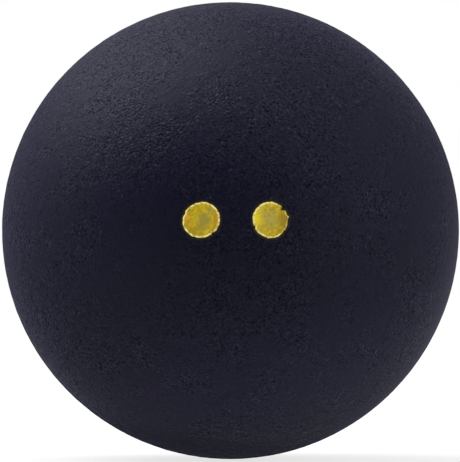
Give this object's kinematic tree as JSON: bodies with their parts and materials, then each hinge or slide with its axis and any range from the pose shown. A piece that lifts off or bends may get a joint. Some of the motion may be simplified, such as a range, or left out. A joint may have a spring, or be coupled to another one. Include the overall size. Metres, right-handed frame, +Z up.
{
  "type": "squash ball",
  "caption": "Hollow dark rubber squash ball made of cemented half shells, with small printed yellow dots side by side on its front.",
  "frame": {"origin": "centre of the ball, which is also the centre of its sealed air chamber", "axes": "+Y along the moulding axis from the printed half to the rear half, so the dots face -Y; +Z up; the seam lies in the XZ plane"},
  "size_m": [0.04, 0.0401, 0.04],
  "materials": {
    "shell_rubber": "matte",
    "rubber_cement": "matte",
    "dot_ink": "satin"
  },
  "bodies": {
    "root": {"front_half_shell": "shell_rubber", "rear_half_shell": "shell_rubber", "seam_cement": "rubber_cement", "left_dot": "dot_ink", "right_dot": "dot_ink"}
  },
  "joints": []
}
